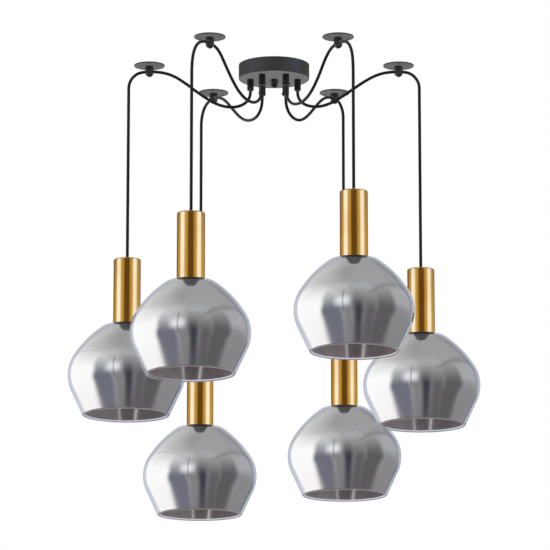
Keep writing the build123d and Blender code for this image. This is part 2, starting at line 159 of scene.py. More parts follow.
# ---------------- shader helpers
class NodeSheet:
    """Short ways to add and link the nodes of one material or world."""

    def __init__(self, tree: bpy.types.NodeTree) -> None:
        """Start from an empty node tree."""
        self.tree = tree
        tree.nodes.clear()

    def add(self, kind: str, **settings: object) -> bpy.types.Node:
        """Add a node and set some of its own properties.

        Args:
            kind: The node's type name.
            **settings: Properties of the node by name.

        Returns:
            The new node.
        """
        node = self.tree.nodes.new(kind)
        for key, value in settings.items():
            setattr(node, key, value)
        return node

    def feed(self, target: Socket, value: object) -> None:
        """Link a socket's value from another socket, or set it to a constant."""
        if isinstance(value, bpy.types.NodeSocket):
            self.tree.links.new(value, target)
        else:
            target.default_value = value

    def math(self, operation: str, *values: object) -> Socket:
        """The result of a Math node on one to three numbers or sockets."""
        node = self.add("ShaderNodeMath", operation=operation)
        for target, value in zip(node.inputs, values):
            self.feed(target, value)
        return node.outputs[0]

    def fade(self, value: object, low: float, high: float) -> Socket:
        """A smooth step from 0 to 1 as a value goes from low to high."""
        node = self.add("ShaderNodeMapRange", interpolation_type="SMOOTHSTEP")
        self.feed(node.inputs["Value"], value)
        node.inputs["From Min"].default_value = low
        node.inputs["From Max"].default_value = high
        return node.outputs["Result"]

    def edge(self, value: object, middle: float, softness: float) -> Socket:
        """A smooth step from 0 to 1 that takes its softness on each side of its middle."""
        return self.fade(value, middle - softness, middle + softness)

    def mix(self, share: object, first: object, second: object) -> Socket:
        """A colour that goes from the first to the second by a share from 0 to 1."""
        node = self.add("ShaderNodeMix", data_type="RGBA")
        colours = [socket for socket in node.inputs if socket.type == "RGBA"]
        self.feed(node.inputs["Factor"], share)
        for target, value in zip(colours, (first, second)):
            self.feed(target, (*value, 1.0) if isinstance(value, tuple) else value)
        return next(socket for socket in node.outputs if socket.type == "RGBA")

    def noise(self, scale: float, detail: float = 2.0, roughness: float = 0.5,
              stretch: Triple = (1.0, 1.0, 1.0)) -> Socket:
        """A noise pattern on Object coordinates.

        Args:
            scale: Features per metre.
            detail: Levels of finer noise.
            roughness: How strong the finer levels are.
            stretch: Scale along each axis, above 1 for finer.

        Returns:
            The noise value, about 0 to 1.
        """
        where = self.add("ShaderNodeTexCoord").outputs["Object"]
        mapping = self.add("ShaderNodeMapping")
        self.feed(mapping.inputs["Vector"], where)
        mapping.inputs["Scale"].default_value = stretch
        node = self.add("ShaderNodeTexNoise")
        self.feed(node.inputs["Vector"], mapping.outputs["Vector"])
        node.inputs["Scale"].default_value = scale
        node.inputs["Detail"].default_value = detail
        node.inputs["Roughness"].default_value = roughness
        return node.outputs["Fac"]

    def bump(self, height: object, strength: float, distance: float) -> Socket:
        """A bumped normal from a height pattern."""
        node = self.add("ShaderNodeBump")
        node.inputs["Strength"].default_value = strength
        node.inputs["Distance"].default_value = distance
        self.feed(node.inputs["Height"], height)
        return node.outputs["Normal"]

    def principled(self, **values: object) -> Socket:
        """The output of a Principled shader, with its sockets set by name.

        Args:
            **values: Socket values or links; an underscore stands for a space in a name.
        """
        shader = self.add("ShaderNodeBsdfPrincipled")
        for name, value in values.items():
            target = shader.inputs[name.replace("_", " ")]
            self.feed(target, (*value, 1.0) if isinstance(value, tuple) else value)
        return shader.outputs["BSDF"]

    def choice(self, share: Socket, first: Socket, second: Socket) -> Socket:
        """A shader that goes from the first to the second by a share from 0 to 1."""
        node = self.add("ShaderNodeMixShader")
        for target, value in zip(node.inputs, (share, first, second)):
            self.feed(target, value)
        return node.outputs[0]


# ---------------- finishes
class Surface:
    """What every finish shares: it has a name, and lays out one shader for its material."""

    name: str

    def shader(self, sheet: NodeSheet) -> Socket:
        """Lay out the finish's nodes and return the shader's output."""
        raise NotImplementedError

    def build(self) -> bpy.types.Material:
        """Make the material."""
        material = bpy.data.materials.new(self.name)
        material.use_nodes = True
        sheet = NodeSheet(material.node_tree)
        output = sheet.add("ShaderNodeOutputMaterial")
        sheet.feed(output.inputs["Surface"], self.shader(sheet))
        return material


@dataclass(frozen=True)
class ClearGlass(Surface):
    """The shade's own glass: clear and glossy, so that the mirror film inside it shows."""

    name: str = "clear_shade_glass"
    tint: Colour = (0.98, 0.98, 0.99)
    neck_tint: Colour = (0.86, 0.86, 0.87)
    ior: float = 1.003
    gloss_ior: float = 1.45

    def shader(self, sheet: NodeSheet) -> Socket:
        """Glass that is a little darker towards the neck."""
        belly_share = sheet.add("ShaderNodeAttribute", attribute_name="belly_share").outputs["Fac"]
        tint = sheet.mix(belly_share, self.neck_tint, self.tint)
        return sheet.principled(Base_Color=tint, Transmission_Weight=1.0, Roughness=0.0,
                                IOR=self.ior, Coat_Weight=1.0, Coat_Roughness=0.0,
                                Coat_IOR=self.gloss_ior)


@dataclass(frozen=True)
class GlassLip(Surface):
    """The fire-polished lip of the glass, painted an opaque grey: painted shade in place of the
    look of the clear lip.
    """

    name: str = "glass_lip_painted_shade"
    # painted shade: an opaque grey and a paler grey in place of clear glass
    grey: Colour = (0.21, 0.195, 0.21)
    pale: Colour = (0.27, 0.26, 0.28)

    def shader(self, sheet: NodeSheet) -> Socket:
        """A painted-shade grey that clouds a little round the lip."""
        cloud = sheet.noise(scale=70.0, detail=2.0)
        colour = sheet.mix(sheet.fade(cloud, 0.3, 0.7), self.grey, self.pale)
        return sheet.principled(Base_Color=colour, Roughness=0.45, Specular_IOR_Level=0.1)


@dataclass(frozen=True)
class MirrorFilm(Surface):
    """Smoke-grey metal film behind the glass: thinner and duller towards the rim."""

    name: str = "smoke_mirror_film"
    film: Colour = (0.90, 0.90, 0.90)
    rim_film: Colour = (0.86, 0.83, 0.83)
    roughness: float = 0.05
    rim_roughness: float = 0.22
    patchiness: float = 0.35
    patch_shift: float = -0.17
    wave_scale: float = 16.0
    wave_relief: float = 0.22
    wave_height: float = 0.3 * MM

    def shader(self, sheet: NodeSheet) -> Socket:
        """A gently waved mirror whose gloss falls off towards the rim, unevenly."""
        cloud = sheet.noise(scale=30.0, detail=3.0)
        rim_share = sheet.add("ShaderNodeAttribute", attribute_name="rim_share").outputs["Fac"]
        uneven = sheet.math("MULTIPLY_ADD", cloud, self.patchiness, self.patch_shift)
        share = sheet.fade(sheet.math("ADD", rim_share, uneven), 0.05, 1.0)
        film = sheet.mix(share, self.film, self.rim_film)
        duller = self.rim_roughness - self.roughness
        rough = sheet.math("MULTIPLY_ADD", share, duller, self.roughness)
        waves = sheet.noise(scale=self.wave_scale, detail=1.0)
        return sheet.principled(Base_Color=film, Metallic=1.0, Roughness=rough,
                                Normal=sheet.bump(waves, self.wave_relief, self.wave_height))


@dataclass(frozen=True)
class FilmBacking(Surface):
    """The film's inner side, inside the shade: a dull warm grey with a soft shine."""

    name: str = "film_backing_grey"
    backing: Colour = (0.46, 0.41, 0.425)
    thin: Colour = (0.38, 0.335, 0.35)
    roughness: float = 0.10
    cloud_roughness: float = 0.08

    def shader(self, sheet: NodeSheet) -> Socket:
        """A half metallic grey in two close tones."""
        cloud = sheet.noise(scale=45.0, detail=3.0)
        colour = sheet.mix(sheet.fade(cloud, 0.35, 0.75), self.backing, self.thin)
        rough = sheet.math("MULTIPLY_ADD", cloud, self.cloud_roughness, self.roughness)
        return sheet.principled(Base_Color=colour, Metallic=0.35, Roughness=rough)


@dataclass(frozen=True)
class SatinBrass(Surface):
    """Turned brass under clear lacquer, with fine rings from the polishing lathe."""

    name: str = "satin_brass_turned"
    brass: Colour = (0.88, 0.62, 0.28)
    deep: Colour = (0.80, 0.53, 0.21)
    roughness: float = 0.14
    ring_roughness: float = 0.08
    ring_scale: float = 700.0
    ring_relief: float = 0.10
    ring_depth: float = 0.03 * MM

    def shader(self, sheet: NodeSheet) -> Socket:
        """Brass in two close tones, with fine rings in its gloss and its relief."""
        rings = sheet.noise(scale=self.ring_scale, detail=3.0, stretch=(0.02, 0.02, 1.0))
        cloud = sheet.noise(scale=18.0, detail=2.0)
        colour = sheet.mix(sheet.fade(cloud, 0.3, 0.8), self.brass, self.deep)
        rough = sheet.math("MULTIPLY_ADD", rings, self.ring_roughness, self.roughness)
        return sheet.principled(Base_Color=colour, Metallic=1.0, Roughness=rough,
                                Normal=sheet.bump(rings, self.ring_relief, self.ring_depth))


@dataclass(frozen=True)
class DarkReflectionSleeve(Surface):
    """Dark sleeve inside a brass cover, there only for a painted reflection: the dark wedge under
    the cover in its own shade's mirror. In mirrored glass only the nearest one shows.
    """

    name: str = "painted_reflection_dark"
    # painted reflection: the flecked dark greys that the mirror shows under the cover
    reflected_dark: Colour = (0.115, 0.110, 0.118)
    worn: Colour = (0.145, 0.140, 0.145)
    fleck_relief: float = 0.2
    fleck_depth: float = 0.05 * MM
    mirror_reach: float = 125 * MM

    def shader(self, sheet: NodeSheet) -> Socket:
        """Flecked dark grey for the painted reflection, unseen by reflected rays from beyond its
        own shade.
        """
        flecks = sheet.noise(scale=900.0, detail=3.0, stretch=(1.0, 1.0, 0.25))
        colour = sheet.mix(sheet.fade(flecks, 0.4, 0.7), self.reflected_dark, self.worn)
        reflected_dark = sheet.principled(Base_Color=colour, Roughness=0.75,
                                 Normal=sheet.bump(flecks, self.fleck_relief,
                                                   self.fleck_depth))
        rays = sheet.add("ShaderNodeLightPath")
        far = sheet.math("GREATER_THAN", rays.outputs["Ray Length"], self.mirror_reach)
        share = sheet.math("MULTIPLY", far, rays.outputs["Is Glossy Ray"])
        clear = sheet.add("ShaderNodeBsdfTransparent")
        return sheet.choice(share, reflected_dark, clear.outputs[0])


@dataclass(frozen=True)
class PaleFloor(Surface):
    """The studio's floor: pale from above, and clear from beneath."""

    name: str = "pale_floor"
    grey: Colour = (0.90, 0.90, 0.90)
    pale: Colour = (0.94, 0.94, 0.94)

    def shader(self, sheet: NodeSheet) -> Socket:
        """A dull pale grey that its back side doesn't show."""
        floor = sheet.add("ShaderNodeBsdfDiffuse")
        cloud = sheet.noise(scale=6.0, detail=3.0)
        sheet.feed(floor.inputs["Color"], sheet.mix(cloud, self.grey, self.pale))
        below = sheet.add("ShaderNodeNewGeometry").outputs["Backfacing"]
        clear = sheet.add("ShaderNodeBsdfTransparent")
        return sheet.choice(below, floor.outputs[0], clear.outputs[0])


class Grain(Enum):
    """How a coat's surface feels: its grains per metre, and their depth."""

    POWDER = (1500.0, 0.12 * MM)
    MOULDED = (1800.0, 0.03 * MM)
    POLISHED = (300.0, 0.004 * MM)
    SHEATH = (260.0, 0.0015 * MM)


@dataclass(frozen=True)
class Coating(Surface):
    """An opaque coat or moulding: a colour that varies a little, a gloss, and a fine grain."""

    name: str
    colour: Colour
    worn: Colour
    roughness: float
    grain: Grain
    metallic: float = 0.0
    coat: float = 0.0
    shine: float = 0.12
    unevenness: float = 0.12
    relief: float = 0.35

    def shader(self, sheet: NodeSheet) -> Socket:
        """A colour with worn patches, whose gloss varies round its middle value."""
        scale, depth = self.grain.value
        grains = sheet.noise(scale=scale, detail=2.0)
        patches = sheet.noise(scale=60.0, detail=4.0, roughness=0.6)
        colour = sheet.mix(sheet.fade(patches, 0.45, 0.80), self.colour, self.worn)
        rough = sheet.math("MULTIPLY_ADD", patches, self.unevenness,
                           self.roughness - self.unevenness / 2)
        return sheet.principled(Base_Color=colour, Roughness=rough, Metallic=self.metallic,
                                Specular_IOR_Level=self.shine,
                                Coat_Weight=self.coat, Coat_Roughness=0.0,
                                Normal=sheet.bump(grains, self.relief, depth))


class Finish(Enum):
    """Every finish of the light. Its material is made when a piece first asks for it."""

    GLASS = ClearGlass()
    LIP = GlassLip()
    FILM = MirrorFilm()
    BACKING = FilmBacking()
    BRASS = SatinBrass()
    SLEEVE = DarkReflectionSleeve()
    FLOOR = PaleFloor()
    POWDER_BLACK = Coating("powder_coat_black", (0.036, 0.036, 0.038), (0.042, 0.042, 0.044),
                           0.40, Grain.POWDER, shine=0.26)
    PLATE_BLACK = Coating("plate_black", (0.026, 0.026, 0.028), (0.034, 0.034, 0.036),
                          0.42, Grain.POWDER, shine=0.20)
    MOULDED_BLACK = Coating("moulded_black", (0.010, 0.010, 0.011), (0.018, 0.018, 0.019),
                            0.40, Grain.MOULDED)
    GLOSS_BLACK = Coating("gloss_black_nickel", (0.008, 0.008, 0.009), (0.013, 0.013, 0.014),
                          0.16, Grain.POLISHED, coat=1.0, shine=0.0)
    CORD_BLACK = Coating("cord_sheath_black", (0.0085, 0.0085, 0.0095), (0.011, 0.011, 0.012),
                         0.34, Grain.SHEATH, coat=0.5, shine=0.0)
    ZINC = Coating("zinc_plate", (0.62, 0.63, 0.65), (0.48, 0.49, 0.52),
                   0.34, Grain.POLISHED, metallic=1.0, shine=0.5)
    WHITE_PLASTIC = Coating("white_moulding", (0.80, 0.80, 0.77), (0.70, 0.70, 0.66),
                            0.45, Grain.MOULDED)
    CONTACT_BRASS = Coating("contact_brass_strip", (0.78, 0.55, 0.24), (0.62, 0.42, 0.17),
                            0.30, Grain.POLISHED, metallic=1.0)

    @cached_property
    def material(self) -> bpy.types.Material:
        """The finish's material, which all its pieces share."""
        return self.value.build()


# ---------------- layout
@dataclass(frozen=True)
class Light:
    """One of the six lights: where it hangs, and the route of its cord.

    The route is in the upright plane through the box's axis and the light's hook, as distance
    out from that axis and depth below the ceiling, in millimetres.
    """

    number: int
    neck_depth: float
    route: tuple[tuple[float, float], ...]

    pitch: ClassVar[float] = math.radians(60.0)
    swing_drop: ClassVar[float] = 2.9
    grip_rise: ClassVar[float] = 40.0

    @property
    def angle(self) -> float:
        """Angle of the light's plane round the box, in radians."""
        return (self.number - 1) * self.pitch

    def at(self, out: float, depth: float) -> Vector:
        """The point at a distance out and a depth in this light's plane, in metres."""
        reach = out * MM
        return Vector((reach * math.cos(self.angle), reach * math.sin(self.angle), -depth * MM))

    @property
    def neck(self) -> Vector:
        """Centre of the glass neck's top face."""
        return self.at(self.route[-1][0], self.neck_depth)

    @property
    def pivot(self) -> Vector:
        """The point that the light swings about, just under the end of its swag."""
        out, depth = self.route[-1]
        return self.at(out, depth + self.swing_drop)

    @property
    def body(self) -> str:
        """Name of the moving body that this light is."""
        return f"pendant_{self.number}"


HOOK_DEPTH = 11.5
GLAND_MOUTH = (40.0, 44.5)

LIGHTS = (
    Light(1, 467.5, (
        GLAND_MOUTH, (40, 51), (42.7, 60), (49.5, 67.5), (60.5, 72), (76, 73), (94, 68), (113, 57),
        (133.5, 42.5), (155, 27.5), (176.5, 16), (198, HOOK_DEPTH), (226, HOOK_DEPTH),
        (239.3, 19.3), (247, 32.7), (247, 48))),
    Light(2, 555.0, (
        GLAND_MOUTH, (40, 52), (42.5, 62.5), (50, 71.5), (62.5, 77.5), (79.5, 79), (98.5, 74),
        (118, 62), (137, 46.5), (156.5, 30), (176, 17.5), (197.5, HOOK_DEPTH),
        (223.5, HOOK_DEPTH), (235.8, 18.7), (243, 31), (243, 46))),
    Light(3, 587.0, (
        GLAND_MOUTH, (40, 52.5), (42.5, 63.2), (49.5, 72.2), (61, 78), (78, 79.5), (98, 75.5),
        (119, 64.5), (139, 49), (159, 32), (178, 18.5), (199, HOOK_DEPTH),
        (228, HOOK_DEPTH), (246, 20), (256, 39), (256, 60))),
    Light(4, 450.5, (
        GLAND_MOUTH, (40, 50.5), (42.5, 59), (49, 67), (60, 72.5), (75, 74), (92.5, 70.5),
        (111, 61), (131, 47), (152, 30.5), (172.5, 17.5), (195, HOOK_DEPTH),
        (226, HOOK_DEPTH), (239.3, 19.3), (247, 32.7), (247, 48))),
    Light(5, 422.5, (
        GLAND_MOUTH, (40, 52), (42.5, 62), (49.5, 71.5), (61.5, 79), (78, 82), (98, 80),
        (120, 71.5), (141, 56), (161, 37.5), (178, 20.5), (196.5, HOOK_DEPTH),
        (229, HOOK_DEPTH), (250.5, 19.5), (264, 37.5), (269, 62), (269, 86))),
    Light(6, 384.5, (
        GLAND_MOUTH, (40, 52.5), (42.5, 63), (49.5, 73), (61, 81), (77, 85.5), (97, 85.5),
        (118, 78.5), (137.5, 64.5), (155, 46.5), (172, 26), (194, HOOK_DEPTH),
        (227, HOOK_DEPTH), (242, 16.5), (252.5, 28), (258, 44), (259.5, 64), (259.5, 83))),
)

CORD_LENGTHS = (0.643, 0.736, 0.777, 0.627, 0.623, 0.585)


# ---------------- cords
@dataclass
class HangingCord:
    """One round cord, from its gland up through its hook and plumb down into its lamp holder."""

    light: Light
    length: float
    diameter: float = 5.2 * MM
    sides: int = 16
    steps_per_span: int = 16
    route_order: int = 3
    smooth_angle: float = 50.0
    bend_length: float = 80 * MM

    def centreline(self) -> list[Vector]:
        """The points of the smooth line that the route's points control.

        Returns:
            Points in the model's frame, from the gland's mouth to the lamp holder's grip.
        """
        light = self.light
        end_out = light.route[-1][0]
        controls = [light.at(out, depth) for out, depth in light.route]
        controls.append(light.at(end_out, light.neck_depth - light.grip_rise))
        curve = bpy.data.curves.new("cord_line", "CURVE")
        curve.dimensions = "3D"
        curve.resolution_u = self.steps_per_span
        spline = curve.splines.new("NURBS")
        spline.points.add(len(controls) - 1)
        for point, control in zip(spline.points, controls):
            point.co = (*control, 1.0)
        spline.order_u = self.route_order
        spline.use_endpoint_u = True
        line = bpy.data.objects.new("cord_line", curve)
        bpy.context.scene.collection.objects.link(line)
        bpy.context.view_layer.update()
        mesh = bpy.data.meshes.new_from_object(line)
        points = [vertex.co.copy() for vertex in mesh.vertices]
        bpy.data.objects.remove(line, do_unlink=True)
        bpy.data.curves.remove(curve)
        bpy.data.meshes.remove(mesh)
        return points

    def tube(self, points: list[Vector]) -> Piece:
        """A closed round tube along a line that lies in one upright plane.

        Args:
            points: The line's points.

        Returns:
            The new mesh object.
        """
        across = Vector((-math.sin(self.light.angle), math.cos(self.light.angle), 0))
        radius = self.diameter / 2
        mesh = bmesh.new()
        rings = []
        angles = [FULL_TURN * side / self.sides for side in range(self.sides)]
        for index, point in enumerate(points):
            before = points[max(index - 1, 0)]
            after = points[min(index + 1, len(points) - 1)]
            outward = (after - before).normalized().cross(across)
            around = [across * math.cos(angle) + outward * math.sin(angle) for angle in angles]
            rings.append([mesh.verts.new(point + side * radius) for side in around])
        for first, second in zip(rings, rings[1:]):
            for side in range(self.sides):
                other = (side + 1) % self.sides
                mesh.faces.new((first[side], first[other], second[other], second[side]))
        mesh.faces.new(rings[0])
        mesh.faces.new(rings[-1])
        bmesh.ops.recalc_face_normals(mesh, faces=mesh.faces)
        data = bpy.data.meshes.new(f"hanging_cord_{self.light.number}")
        mesh.to_mesh(data)
        mesh.free()
        piece = bpy.data.objects.new(data.name, data)
        bpy.context.scene.collection.objects.link(piece)
        bpy.ops.object.select_all(action="DESELECT")
        piece.select_set(True)
        bpy.context.view_layer.objects.active = piece
        bpy.ops.object.shade_smooth_by_angle(angle=math.radians(self.smooth_angle))
        return piece

    def build(self) -> Piece:
        """Lay the cord along its route from its gland through its hook to its light, and dress it.
        """
        number = self.light.number
        points = self.centreline()
        piece = self.tube(points)
        piece.data.materials.append(Finish.CORD_BLACK.material)
        piece.visible_glossy = False
        piece.visible_transmission = False
        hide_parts(f"cord_{number}_swag", f"cord_{number}_drop")
        pivot = self.light.pivot
        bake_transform(piece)
        LOG.info("%s: %d points, %.0f mm", piece.name, len(points), self.length / MM)
        return piece


# ---------------- glass shade
@dataclass
class ShadeBowl:
    """Blown glass bowl, open below, with a mirror film behind its inner face.

    Its outline is a flat land round the neck hole, three arcs that run into each other (crown,
    shoulder and belly) and a straight run to the rim. The wall is thickest at the rim.
    """

    neck_hole_radius: float = 20.5 * MM
    land_width: float = 9.5 * MM
    crown_radius: float = 20.0 * MM
    shoulder_radius: float = 175.0 * MM
    belly_reach: float = 98.0 * MM
    belly_depth: float = 85.5 * MM
    belly_radius: float = 60.3 * MM
    rim_radius: float = 73.0 * MM
    rim_depth: float = 152.5 * MM
    neck_wall: float = 3.0 * MM
    shoulder_wall: float = 2.1 * MM
    shoulder_share: float = 0.2
    rim_wall: float = 4.4 * MM
    lip_inset: float = 0.1 * MM
    film_gap: float = 0.05 * MM
    film_thickness: float = 0.25 * MM
    fade_depth: float = 85.0 * MM
    facets: int = 128
    land_steps: int = 3
    crown_steps: int = 10
    shoulder_steps: int = 14
    belly_steps: int = 22
    straight_steps: int = 8
    lip_steps: int = 10
    smooth_angle: float = 40.0
    inside_share: float = 0.9

    def outer_face(self) -> list[tuple[Vector, Vector]]:
        """The outer face from the neck hole to the rim.

        Returns:
            Each point with its outward direction, both as distance out and height.
        """
        belly = Vector((self.belly_reach - self.belly_radius, -self.belly_depth))
        crown = Vector((self.neck_hole_radius + self.land_width, -self.crown_radius))
        between = crown - belly
        to_belly = self.shoulder_radius - self.belly_radius
        to_crown = self.shoulder_radius - self.crown_radius
        along = (to_belly ** 2 - to_crown ** 2 + between.length ** 2) / (2 * between.length)
        aside = math.sqrt(to_belly ** 2 - along ** 2)
        ahead = between.normalized()
        shoulder = belly + ahead * along + Vector((-ahead.y, ahead.x)) * aside

        rim = Vector((self.rim_radius, -self.rim_depth))
        to_rim = rim - belly
        rim_lean = math.degrees(math.atan2(to_rim.y, to_rim.x)
                                + math.acos(self.belly_radius / to_rim.length))
        crown_end = math.degrees(math.atan2(crown.y - shoulder.y, crown.x - shoulder.x))
        shoulder_end = math.degrees(math.atan2(belly.y - shoulder.y, belly.x - shoulder.x))

        face = []
        for step in range(self.land_steps):
            out = self.neck_hole_radius + self.land_width * step / self.land_steps
            face.append((Vector((out, 0.0)), Vector((0.0, 1.0))))
        for centre, radius, start, end, steps in (
                (crown, self.crown_radius, 90.0, crown_end, self.crown_steps),
                (shoulder, self.shoulder_radius, crown_end, shoulder_end, self.shoulder_steps),
                (belly, self.belly_radius, shoulder_end, rim_lean, self.belly_steps)):
            for step in range(steps):
                angle = math.radians(start + (end - start) * step / steps)
                outward = Vector((math.cos(angle), math.sin(angle)))
                face.append((centre + outward * radius, outward))
        outward = Vector((math.cos(math.radians(rim_lean)), math.sin(math.radians(rim_lean))))
        leave = belly + outward * self.belly_radius
        for step in range(self.straight_steps + 1):
            face.append((leave.lerp(rim, step / self.straight_steps), outward))
        return face

    def wall_at(self, height: float) -> float:
        """The glass's thickness at a height: thinnest at the shoulder, thickest at the rim."""
        share = min(max(-height / self.rim_depth, 0.0), 1.0)
        above = max(self.shoulder_share - share, 0.0) / self.shoulder_share
        below = max(share - self.shoulder_share, 0.0) / (1.0 - self.shoulder_share)
        return (self.shoulder_wall + (self.neck_wall - self.shoulder_wall) * above
                + (self.rim_wall - self.shoulder_wall) * below)

    def layer(self, inset: float) -> Outline:
        """The line that lies inside the glass's inner face by an inset, neck to rim."""
        line = []
        for point, outward in self.outer_face():
            place = point - outward * (self.wall_at(point.y) + inset)
            line.append((place.x, place.y))
        line[0] = (self.neck_hole_radius, line[0][1])
        return line

    def glass(self) -> Piece:
        """The clear glass, with the neck at the origin: outer face, round lip, inner face."""
        outer = [(point.x, point.y) for point, _ in self.outer_face()]
        inner = self.layer(0.0)
        middle = ((outer[-1][0] + inner[-1][0]) / 2, (outer[-1][1] + inner[-1][1]) / 2)
        start = math.degrees(math.atan2(outer[-1][1] - middle[1], outer[-1][0] - middle[0]))
        lip = arc_points(middle, self.rim_wall / 2, start, start - 180.0, self.lip_steps)
        outline = outer + lip[1:-1] + inner[::-1]
        bowl = turned("bowl_pattern", outline, self.facets, self.smooth_angle)
        for finish in (Finish.GLASS, Finish.LIP):
            bowl.data.materials.append(finish.material)
        for face in bowl.data.polygons:
            # the lip's faces take the painted-shade grey
            face.material_index = int(-face.center.z > self.rim_depth + self.lip_inset)
        self.note_depth(bowl, "belly_share", 0.0, self.belly_depth)
        bowl.visible_glossy = False
        bowl.visible_transmission = False
        return bowl

    def note_depth(self, piece: Piece, name: str, start: float, end: float) -> None:
        """Give a piece's points an attribute that goes from 0 to 1 between two depths."""
        shares = piece.data.attributes.new(name, "FLOAT", "POINT")
        for vertex, share in zip(piece.data.vertices, shares.data):
            share.value = min(max((-vertex.co.z - start) / (end - start), 0.0), 1.0)

    def coat(self) -> Piece:
        """The film behind the glass: mirror on its outer side, dull grey inside the shade."""
        mirror = self.layer(self.film_gap)
        back = self.layer(self.film_gap + self.film_thickness)
        coat = turned("film_pattern", mirror + back[::-1], self.facets, self.smooth_angle)
        for finish in (Finish.FILM, Finish.BACKING):
            coat.data.materials.append(finish.material)
        middle = Vector((0.0, 0.0, -self.belly_depth * self.inside_share))
        for face in coat.data.polygons:
            outside = face.normal.dot(face.center - middle) > 0
            face.material_index = 0 if outside else 1
        self.note_depth(coat, "rim_share", self.fade_depth, self.rim_depth)
        coat.visible_glossy = False
        return coat


# ---------------- brass cover
@dataclass
class BrassCover:
    """Drawn brass tube that stands on the glass, closed at the top round the cord."""

    radius: float = 22.9 * MM
    height: float = 112.0 * MM
    wall: float = 1.0 * MM
    seat: float = 0.3 * MM
    edge_radius: float = 2.0 * MM
    cord_hole_radius: float = 3.0 * MM
    hem_radius: float = 0.25 * MM
    sleeve_gap: float = 0.3 * MM
    sleeve_wall: float = 0.5 * MM
    holder_flange: float = 3.0 * MM
    facets: int = 128
    edge_steps: int = 10
    inner_edge_steps: int = 6
    hem_steps: int = 4

    def profile(self) -> Outline:
        """The closed outline, from the cord hole out over the top edge and down."""
        top = self.seat + self.height
        edge = self.edge_radius
        inner_edge = edge - self.wall
        outer = [(self.cord_hole_radius, top)]
        outer += arc_points((self.radius - edge, top - edge), edge, 90.0, 0.0, self.edge_steps)
        outer += arc_points((self.radius - self.hem_radius, self.seat + self.hem_radius),
                            self.hem_radius, 0.0, -90.0, self.hem_steps)
        inner = [(self.radius - self.wall, self.seat)]
        inner += arc_points((self.radius - self.wall - inner_edge, top - edge), inner_edge,
                            0.0, 90.0, self.inner_edge_steps)
        inner.append((self.cord_hole_radius, top - self.wall))
        return outer + inner

    def pattern(self) -> Piece:
        """The tube with the glass neck at the origin."""
        cover = turned("cover_pattern", self.profile(), self.facets)
        cover.data.materials.append(Finish.BRASS.material)
        cover.visible_glossy = False
        cover.visible_diffuse = False
        cover.visible_transmission = False
        return cover

    def sleeve(self) -> Piece:
        """The dark sleeve inside the cover, a hair's breadth from its wall, which shows only as a
        painted reflection in its own shade's mirror.
        """
        outside = self.radius - self.wall - self.sleeve_gap
        inside = outside - self.sleeve_wall
        low = self.seat + self.holder_flange
        high = self.seat + self.height - self.edge_radius - self.sleeve_gap
        outline = [(outside, low), (inside, low), (inside, high), (outside, high)]
        sleeve = turned("sleeve_pattern", outline, self.facets)
        sleeve.data.materials.append(Finish.SLEEVE.material)
        return sleeve


# ---------------- pendants
def build_pendants() -> None:
    """Model each piece of glass and brass once, and put a copy of it on every light."""
    shade, cover = ShadeBowl(), BrassCover()
    patterns = (
        (shade.glass(), "shade_bowl", "smoke_glass", "glass_shade"),
        (shade.coat(), "mirror_film", "smoke_glass", "glass_shade"),
        (cover.pattern(), "brass_cover", "satin_brass", "brass_tube"),
        # the sleeves give each mirror a painted reflection of dark under its cover
        (cover.sleeve(), "painted_reflection_sleeve", "black_plastic", ""),
    )
    for pattern, name, slot, node in patterns:
        for light in LIGHTS:
            piece = placed_copy(pattern, f"{name}_{light.number}", light.neck)
            if node:
                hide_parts(f"{node}_{light.number}")
            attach(piece, light.body)
            LOG.info("%s: %d faces", piece.name, len(piece.data.polygons))
        bpy.data.objects.remove(pattern, do_unlink=True)


# ---------------- carried-over pieces
NODE_FINISHES = {
    Finish.POWDER_BLACK: ("canopy_shell",),
    Finish.PLATE_BLACK: ("hook_plate",),
    Finish.ZINC: ("ceiling_bracket", "canopy_stud", "stud_nut", "gland_nuts"),
    Finish.GLOSS_BLACK: ("dome_nut", "hook_screws", "gland_screws"),
    Finish.WHITE_PLASTIC: ("terminal_block",),
    Finish.MOULDED_BLACK: ("cord_glands", "lamp_holder", "shade_ring"),
    Finish.CORD_BLACK: ("cord_",),
    Finish.CONTACT_BRASS: ("holder_contacts",),
    Finish.BRASS: ("brass_tube",),
    Finish.FILM: ("glass_shade",),
}


def finish_for(name: str) -> Finish:
    """The finish of a node: the first in the table that has the start of its name."""
    return next(finish for finish, starts in NODE_FINISHES.items() if name.startswith(starts))


def dress_nodes(nodes: dict[str, Piece]) -> None:
    """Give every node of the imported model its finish, and keep it out of the mirrors."""
    for name, node in nodes.items():
        for slot in node.material_slots:
            slot.material = finish_for(name).material
        node.visible_glossy = False
        LOG.info("%s dressed", name)


# ---------------- studio
@dataclass(frozen=True)
class Panel:
    """A patch of the studio's wall, by the directions in which the light sees it.

    Angles are degrees. Azimuth 0 is towards the camera, and grows to the right; height is the
    angle above the horizon. Below the horizon the patch leans to the left, or to the right where
    the lean is negative.
    """

    left: float
    right: float
    brightness: float
    tint: Colour = (1.0, 1.0, 1.0)
    softness: float = 5.0
    low: float = -90.0
    high: float = 90.0
    edge: float = 8.0
    lean: float = 0.0

    def colour(self) -> Colour:
        """The panel's light as a colour."""
        return tuple(part * self.brightness for part in self.tint)


COOL = (0.91, 0.96, 1.18)
DUSK = (0.95, 0.96, 1.22)
SOFT_COOL = (0.985, 0.99, 1.04)
MAUVE = (1.02, 0.99, 1.07)
REAR = (0.80, 0.85, 1.0)
GOLD = (1.16, 0.86, 0.245)
CREAM = (0.93, 1.14, 1.78)
AMBER = (1.0, 0.48, 0.15)

